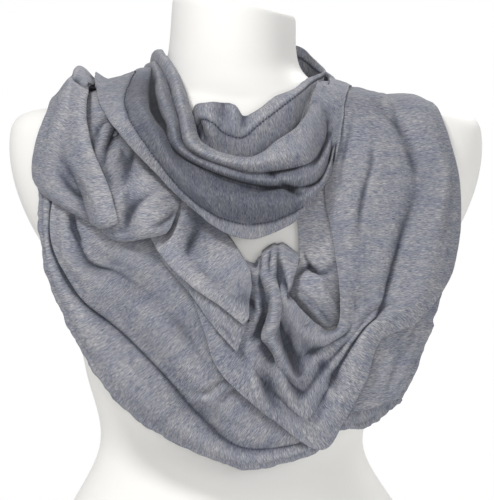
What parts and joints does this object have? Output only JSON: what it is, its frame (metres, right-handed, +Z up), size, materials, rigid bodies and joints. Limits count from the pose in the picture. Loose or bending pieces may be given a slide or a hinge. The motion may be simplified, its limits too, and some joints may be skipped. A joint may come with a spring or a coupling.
{
  "type": "infinity scarf on a dress form",
  "caption": "Wide jersey loop scarf wound twice round the neck of a limbless dress form, hanging in soft folds over the chest and shoulders.",
  "frame": {"origin": "centre of the dress form's flat base", "axes": "+Z up, the front faces -Y, +X to the viewer's right"},
  "size_m": [0.3962, 0.2588, 0.5544],
  "materials": {
    "jersey": "heathered matte jersey",
    "form": "smooth satin"
  },
  "bodies": {
    "root": {"dress_form": "form", "left_drape": "jersey", "right_flap": "jersey", "right_inner_strip": "jersey", "right_panel": "jersey", "back_drape": "jersey", "left_crossing_panel": "jersey", "left_chest_fold": "jersey", "left_shoulder_fold": "jersey", "neck_inner_band": "jersey", "neck_wrap_front": "jersey", "neck_wrap_back": "jersey"}
  },
  "joints": []
}
